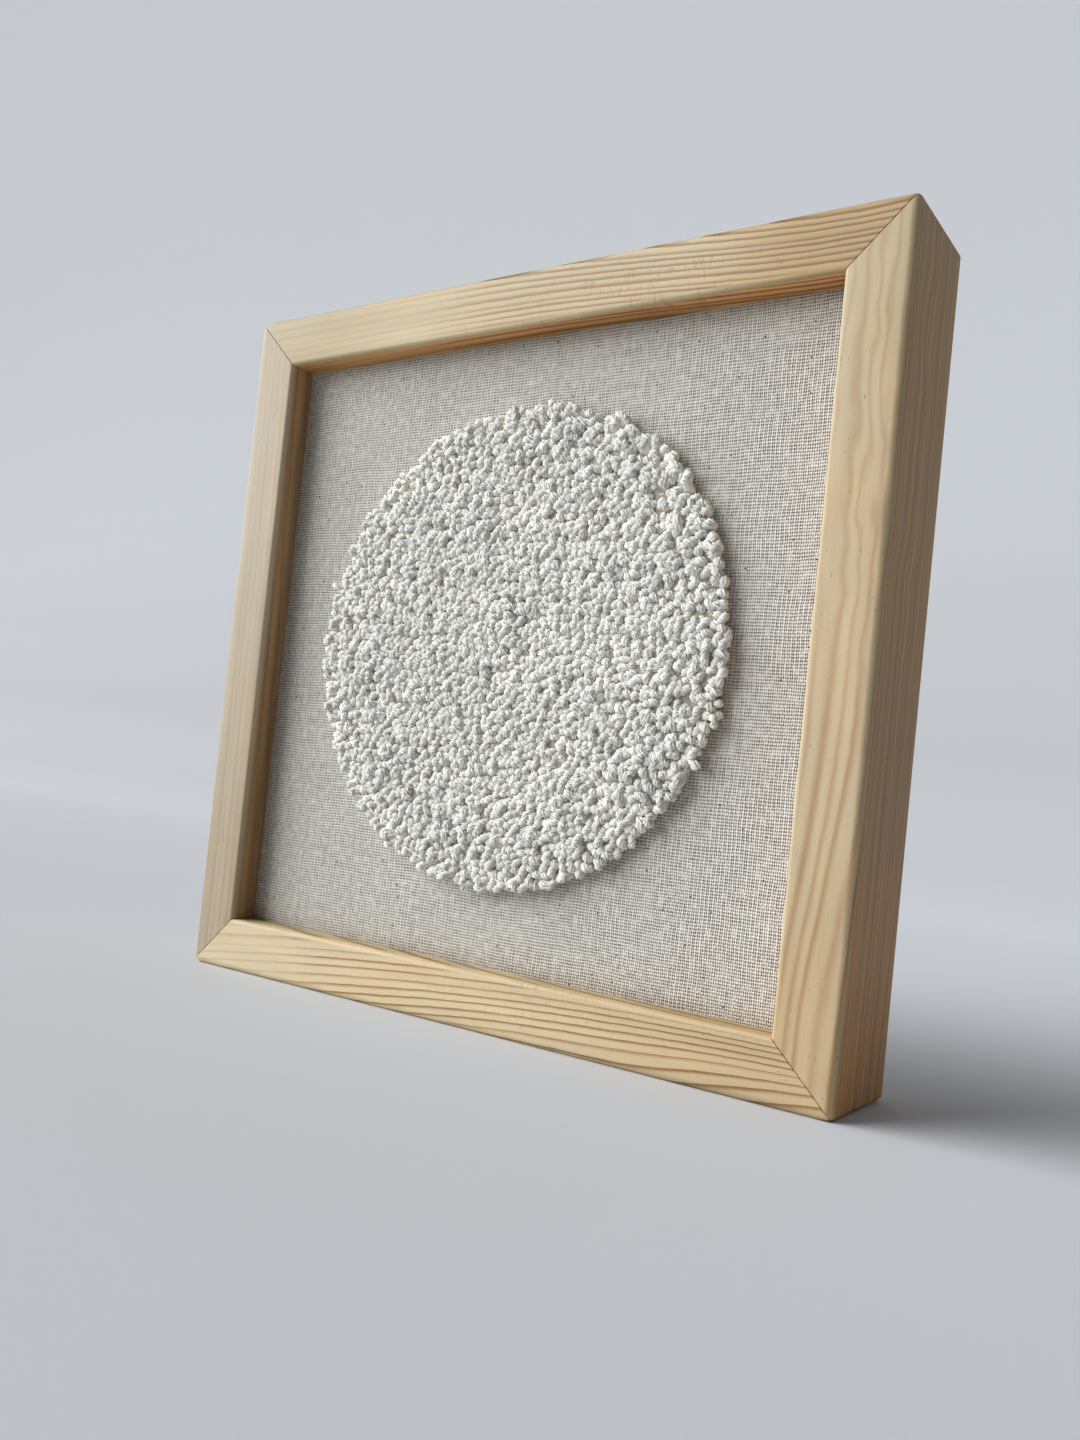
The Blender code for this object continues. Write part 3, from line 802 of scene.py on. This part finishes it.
def loops():
    r, a = spiral()
    n = len(r)
    row = (FIRST_R - r) / ROW
    x, z = r * np.cos(a), r * np.sin(a)
    inner = smooth((FIRST_R - r) / 0.012)
    # the rows wander, less at the rim, and the loops settle into the room they have
    amount = 0.00025 + 0.00080 * inner
    loose = 0.00018 + 0.00030 * inner
    x = x + amount * wobble(x, z, 0.021, 1.0) + loose * rng.standard_normal(n)
    z = z + amount * wobble(x, z, 0.019, 2.0) + loose * rng.standard_normal(n)
    x, z = settled(x, z, 0.00204, 12, FIRST_R - 0.0009 * rng.uniform(size=n) ** 1.5)
    r, a = np.hypot(x, z), np.arctan2(z, x)
    row = (FIRST_R - r) / ROW
    yaw = a + math.pi / 2 + math.radians(62) * rng.standard_normal(n)
    height = 0.00500 - 0.00050 * smooth((r - 0.051) / 0.012) + 0.00020 * rng.standard_normal(n)
    span = 0.00058 + 0.00015 * rng.standard_normal(n)
    thick = np.clip(0.00108 + 0.00008 * rng.standard_normal(n), 0.00090, 0.00130)
    # tufts: neighbours lean together
    centres = clusters(0.0058)
    d = np.hypot(x[:, None] - centres[None, :, 0], z[:, None] - centres[None, :, 1])
    order = np.sort(d, 1)
    nearest = centres[d.argmin(1)]
    gap = order[:, 1] - order[:, 0]
    outer = smooth((r - 0.018) / 0.036)
    pull = (0.08 + 0.08 * outer)
    lean = np.stack([nearest[:, 0] - x, nearest[:, 1] - z], -1) * pull[:, None]
    size = np.linalg.norm(lean, axis=1, keepdims=True)
    lean *= np.minimum(1, 0.00050 / np.maximum(size, 1e-9))
    lean += 0.00030 * rng.standard_normal((n, 2))
    height += 0.00050 * (smooth(gap / 0.0032) - 0.5) * (0.4 + 0.9 * outer)
    height += 0.00026 * wobble(x, z, 0.024, 8.0)
    # towards the rim the loops are bigger and lean out over the cloth, in uneven bunches
    out = np.stack([np.cos(a), np.sin(a)], -1)
    rim = np.exp(-np.maximum(row, 0) / 3.4)
    bunch = 0.42 * wobble(x, z, 0.0150, 5.0) + 0.30 * wobble(x, z, 0.0065, 6.0)
    lean += out * (0.00172 * rim * (1 + bunch + 0.30 * rng.standard_normal(n)))[:, None]
    lean += np.stack([-np.sin(a), np.cos(a)], -1) * (0.00055 * rim * rng.standard_normal(n))[:, None]
    span += 0.00012 * rim ** 1.5 * (1 + 1.0 * rng.standard_normal(n))
    yaw += rng.uniform(-1.0, 1.0, n) * rim
    height += 0.00040 * rim ** 2 * rng.standard_normal(n)
    # here and there a loop stands out or is pulled low
    dice = rng.uniform(size=n)
    big = dice < 0.060
    low = dice > 0.965
    height[big] += 0.00040
    thick[big] += 0.00012
    span[big] += 0.00016
    height[low] -= 0.00085
    yaw[big | low] += rng.uniform(-1.2, 1.2, (big | low).sum())
    span = np.clip(span, 0.00028, 0.0014)
    # the patch isn't quite round
    x, z = 0.992 * x + 0.0005, 1.010 * z
    tone = np.clip(0.5 + 0.24 * rng.standard_normal(n), 0, 1)
    full = row < FULL_ROWS - 0.3
    made = []
    groups = [("pile_rim_1", np.flatnonzero(full)[0::2], 12, -0.0001), ("pile_rim_2", np.flatnonzero(full)[1::2], 12, -0.0001)]
    inside = np.flatnonzero(~full)
    parts = 4
    for i in range(parts):
        groups.append((f"pile_loops_{i + 1}", inside[i * len(inside) // parts:(i + 1) * len(inside) // parts], 9, CUT))
    yarn = yarn_material("cotton_yarn")
    for name, pick, rings, foot in groups:
        m = len(pick)
        h, s, ra = height[pick], span[pick], thick[pick]
        top = h - ra - s
        leg = 12
        # dense hairpin: up one leg, over, down the other; legs close up towards the cloth
        q = np.linspace(0, 1, leg)
        up_n = foot + (top[:, None] - foot) * q[None, :]
        close = 0.45 + 0.55 * smooth(np.clip(up_n / np.maximum(top[:, None], 1e-6), 0, 1))
        up_a = -s[:, None] * close
        phi = np.linspace(math.pi, 0, 15)[1:-1]
        over_a = s[:, None] * np.cos(phi)[None, :]
        over_n = top[:, None] + s[:, None] * np.sin(phi)[None, :]
        pa = np.concatenate([up_a, over_a, -up_a[:, ::-1]], 1)
        pn = np.concatenate([up_n, over_n, up_n[:, ::-1]], 1)
        level = np.clip(pn / (top + s)[:, None], 0, 1) ** 1.5
        # the two legs part a little to either side, so no loop is flat
        side_off = (0.00034 * rng.standard_normal(m))[:, None] * np.sin(np.linspace(-1, 1, pa.shape[1]) * 1.6)[None, :]
        yy = yaw[pick][:, None]
        px = x[pick][:, None] + pa * np.cos(yy) - side_off * np.sin(yy) + lean[pick][:, 0:1] * level
        pz = z[pick][:, None] + pa * np.sin(yy) + side_off * np.cos(yy) + lean[pick][:, 1:2] * level
        path = np.stack([px, CLOTH_Y - pn, CENTRE_Z + pz], -1)
        C = resampled(path, rings)
        across = np.stack([-np.sin(yaw[pick]), np.zeros(m), np.cos(yaw[pick])], -1)
        t = np.linspace(-1, 1, rings)
        swell = 0.86 + 0.16 * (1 - t ** 4)
        rad = ra[:, None] * swell[None, :] * (1 + 0.025 * rng.standard_normal((m, rings)))
        lay = RIM_LAY if foot < 0 else LAY
        ob = tubes(name, C, across, rad, yarn, tone[pick], lay=lay, twist0=rng.uniform(0, 6.28, m))
        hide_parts("pile_disc")
        made.append(ob)
    return made, x, z


def pile_base():
    """The crowded feet of the loops, between the cloth and where the inner loops start."""
    top, edge = 0.0034, 0.0616
    radii = np.concatenate([np.linspace(0.0012, edge - 0.0014, 44), edge - 0.0014 * np.cos(np.linspace(0.35, 1.5, 4) * math.pi / 3)])
    n = 132
    ang = np.arange(n) * 2 * math.pi / n
    verts = []
    for r in radii:
        x, z = r * np.cos(ang), r * np.sin(ang)
        lump = 0.00022 * wobble(x, z, 0.0042, 4.0)
        fall = smooth((edge - r) / 0.0014) * (0.78 + 0.22 * smooth((0.0600 - r) / 0.004))
        y = CLOTH_Y - (0.0006 + (top - 0.0006) * fall + lump * fall)
        verts.append(np.stack([x, y, CENTRE_Z + z], -1))
    x, z = edge * np.cos(ang), edge * np.sin(ang)
    verts.append(np.stack([x, np.full(n, CLOTH_Y - 0.0001), CENTRE_Z + z], -1))
    x, z = 0.3 * edge * np.cos(ang), 0.3 * edge * np.sin(ang)
    verts.append(np.stack([x, np.full(n, CLOTH_Y - 0.0001), CENTRE_Z + z], -1))
    V = np.concatenate(verts)
    rings = len(verts)
    i, j = np.meshgrid(np.arange(rings - 1), np.arange(n), indexing="ij")
    jj = (j + 1) % n
    quads = np.stack([i * n + j, (i + 1) * n + j, (i + 1) * n + jj, i * n + jj], -1).reshape(-1, 4)
    caps = np.array([list(range(n)), [(rings - 1) * n + q for q in range(n)][::-1]])
    g = Nodes("yarn_feet_painted_shade")
    lump = g.noise(g.coords(), 620.0, 2.0)
    fuzz = g.noise(g.coords(), 3000.0, 2.0)
    # painted shade: the feet are coloured far darker than the yarn, as they lie in shade between the loops
    colour = g.mix(g.step(lump, 0.3, 0.7), (0.28, 0.255, 0.21), (0.45, 0.42, 0.36))
    g.shader(colour, 0.95, g.bump(fuzz, 0.00005, 0.5, g.bump(lump, 0.0006, 0.8)))
    ob = make_mesh("pile_feet", V, [quads, caps], g.mat)
    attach(ob, "root")
    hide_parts("pile_disc")
    return ob


def back_stitches(x, z):
    """The flat stitches that the punched loops leave on the back, one from hole to hole."""
    a = np.stack([x[:-1], z[:-1]], -1)
    b = np.stack([x[1:], z[1:]], -1)
    d = b - a
    length = np.linalg.norm(d, axis=1)
    keep = length < 0.0048
    a, d, length = a[keep], d[keep], length[keep]
    m = len(a)
    t = np.array([-0.10, 0.16, 0.84, 1.10])
    up = np.array([-0.00010, 0.00064, 0.00064, -0.00010])
    C = np.empty((m, 4, 3))
    C[..., 0] = a[:, None, 0] + d[:, None, 0] * t
    C[..., 2] = CENTRE_Z + a[:, None, 1] + d[:, None, 1] * t
    C[..., 1] = CLOTH_Y + CLOTH_T + up[None, :] + 0.00008 * rng.standard_normal((m, 1))
    side = np.stack([-d[:, 1] / length, np.zeros(m), d[:, 0] / length], -1)
    rad = np.array([0.00045, 0.00082, 0.00082, 0.00045])[None, :] * (1 + 0.06 * rng.standard_normal((m, 1)))
    tone = np.clip(0.45 + 0.2 * rng.standard_normal(m), 0, 1)
    ob = tubes("back_stitches", C, side, rad, yarn_material("cotton_yarn_back", 3, 0.4), tone, lay=0.0060, plies=3, sides=6, groove=0.80, flat=0.72, twist0=rng.uniform(0, 6.28, m))
    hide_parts("pile_disc")
    return ob


pile, hole_x, hole_z = loops()
feet = pile_base()
stitches = back_stitches(hole_x, hole_z)

triangles = {o.name: sum(len(p.vertices) - 2 for p in o.data.polygons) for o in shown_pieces()}
print("triangles", sum(triangles.values()), triangles)
